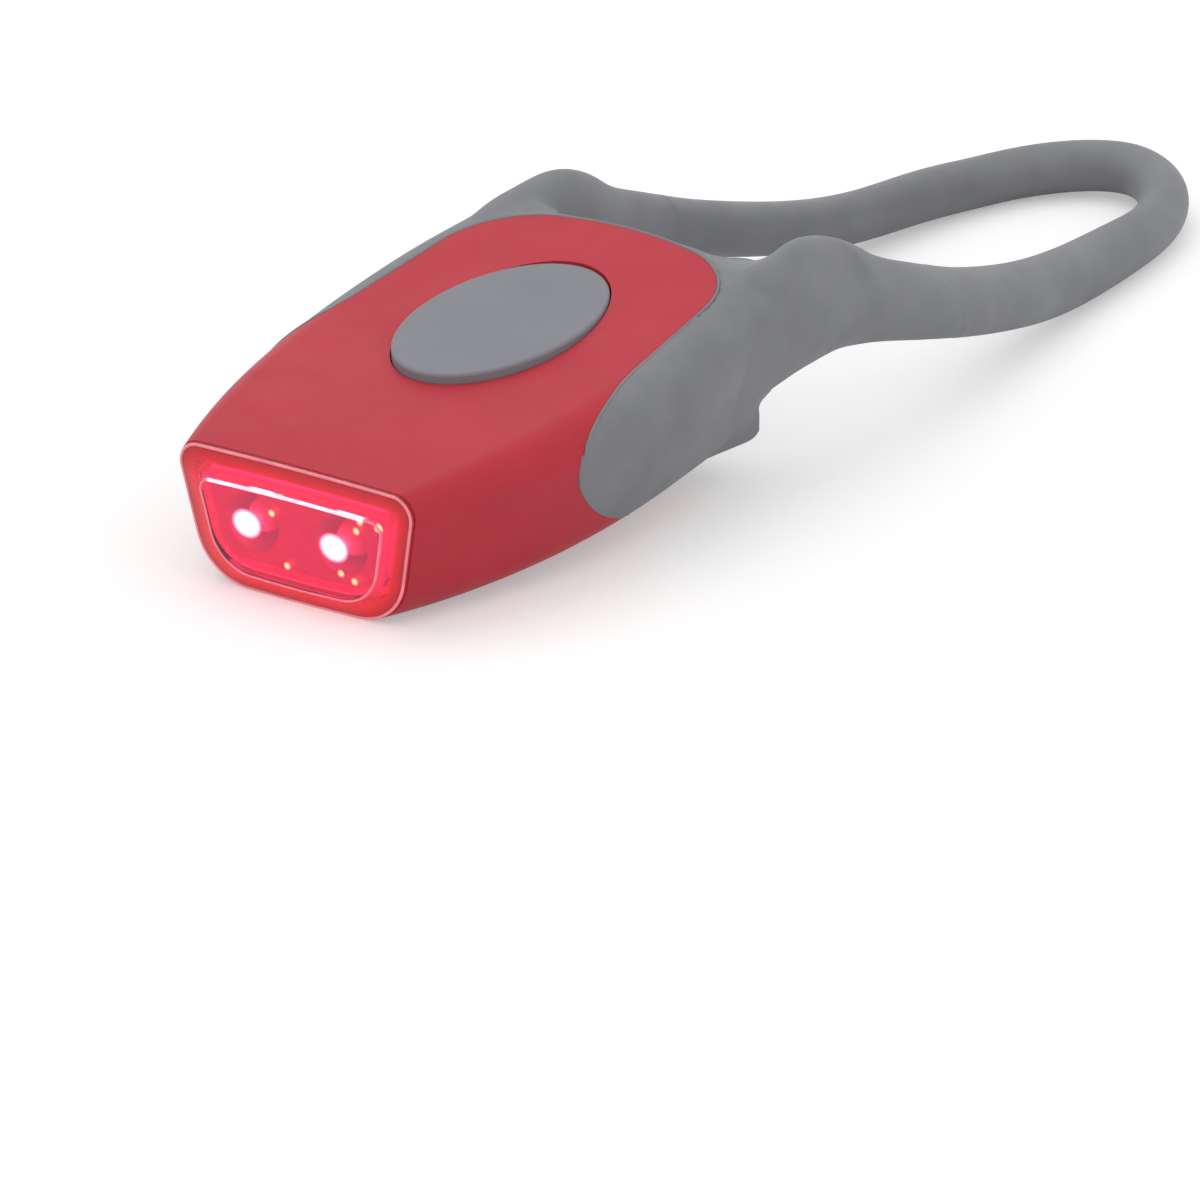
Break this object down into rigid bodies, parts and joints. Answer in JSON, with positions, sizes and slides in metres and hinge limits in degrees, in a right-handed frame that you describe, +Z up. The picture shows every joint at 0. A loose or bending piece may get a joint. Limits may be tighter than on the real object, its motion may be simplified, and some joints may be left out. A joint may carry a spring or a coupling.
{
  "type": "bicycle tail light",
  "caption": "Compact bicycle tail light: red lens and body with a push button, in a soft sleeve whose looped strap stretches round a bar.",
  "frame": {"origin": "centre of the resting object's footprint, on the surface it lies on", "axes": "+Z up, +Y from the lens back to the tip of the strap, +X to the right when looking along +Y; the lens faces -Y"},
  "size_m": [0.0336, 0.1144, 0.0184],
  "materials": {
    "red_shell": "soft satin, moulded",
    "red_lens": "clear red, glossy",
    "reflector_metal": "metallised plastic",
    "light_source": "clear dome",
    "board_green": "coated laminate",
    "steel": "plain steel",
    "cell_steel": "plain can",
    "contact_brass": "plated strip",
    "black_plastic": "moulded",
    "switch_white": "moulded",
    "grey_button": "matt",
    "grey_silicone": "matt silicone",
    "black_rubber": "matt"
  },
  "bodies": {
    "lamp": {"top_shell": "red_shell", "bottom_cover": "red_shell", "cover_seal": "black_rubber", "cover_screws": "steel", "lens": "red_lens", "reflector": "reflector_metal", "led_left": "light_source", "led_right": "light_source", "circuit_board": "board_green", "board_screws": "steel", "controller_chip": "black_plastic", "resistors": "black_plastic", "switch_body": "black_plastic", "button_seal": "black_rubber", "cell_lower": "cell_steel", "cell_upper": "cell_steel", "battery_holder": "black_plastic", "contact_positive": "contact_brass", "contact_negative": "contact_brass"},
    "button": {"button": "grey_button"},
    "plunger": {"switch_plunger": "switch_white"},
    "sleeve": {"silicone_sleeve": "grey_silicone"},
    "strap": {"strap_loop": "grey_silicone", "strap_flex": "grey_silicone"}
  },
  "joints": [
    {"name": "button_press", "type": "slide", "parent": "lamp", "child": "button", "axis": [0, 0.0969, -0.9953], "range_m": [0, 0.00035], "stiffness_N_per_m": 2500},
    {"name": "plunger_press", "type": "slide", "parent": "lamp", "child": "plunger", "axis": [0, 0.0969, -0.9953], "range_m": [0, 0.00035]},
    {"name": "sleeve_slide", "type": "slide", "parent": "lamp", "child": "sleeve", "axis": [0, 0.9953, 0.0969], "range_m": [0, 0.03]},
    {"name": "strap_bend", "type": "hinge", "parent": "sleeve", "child": "strap", "pos_m": [0, 0.00384, 0.01096], "axis": [1, 0, 0], "range_deg": [-75, 75], "stiffness_Nm_per_rad": 0.04, "deforming": ["strap_flex"]}
  ],
  "couplings": [
    {"joint": "plunger_press", "follows": "button_press", "ratio": 1}
  ]
}
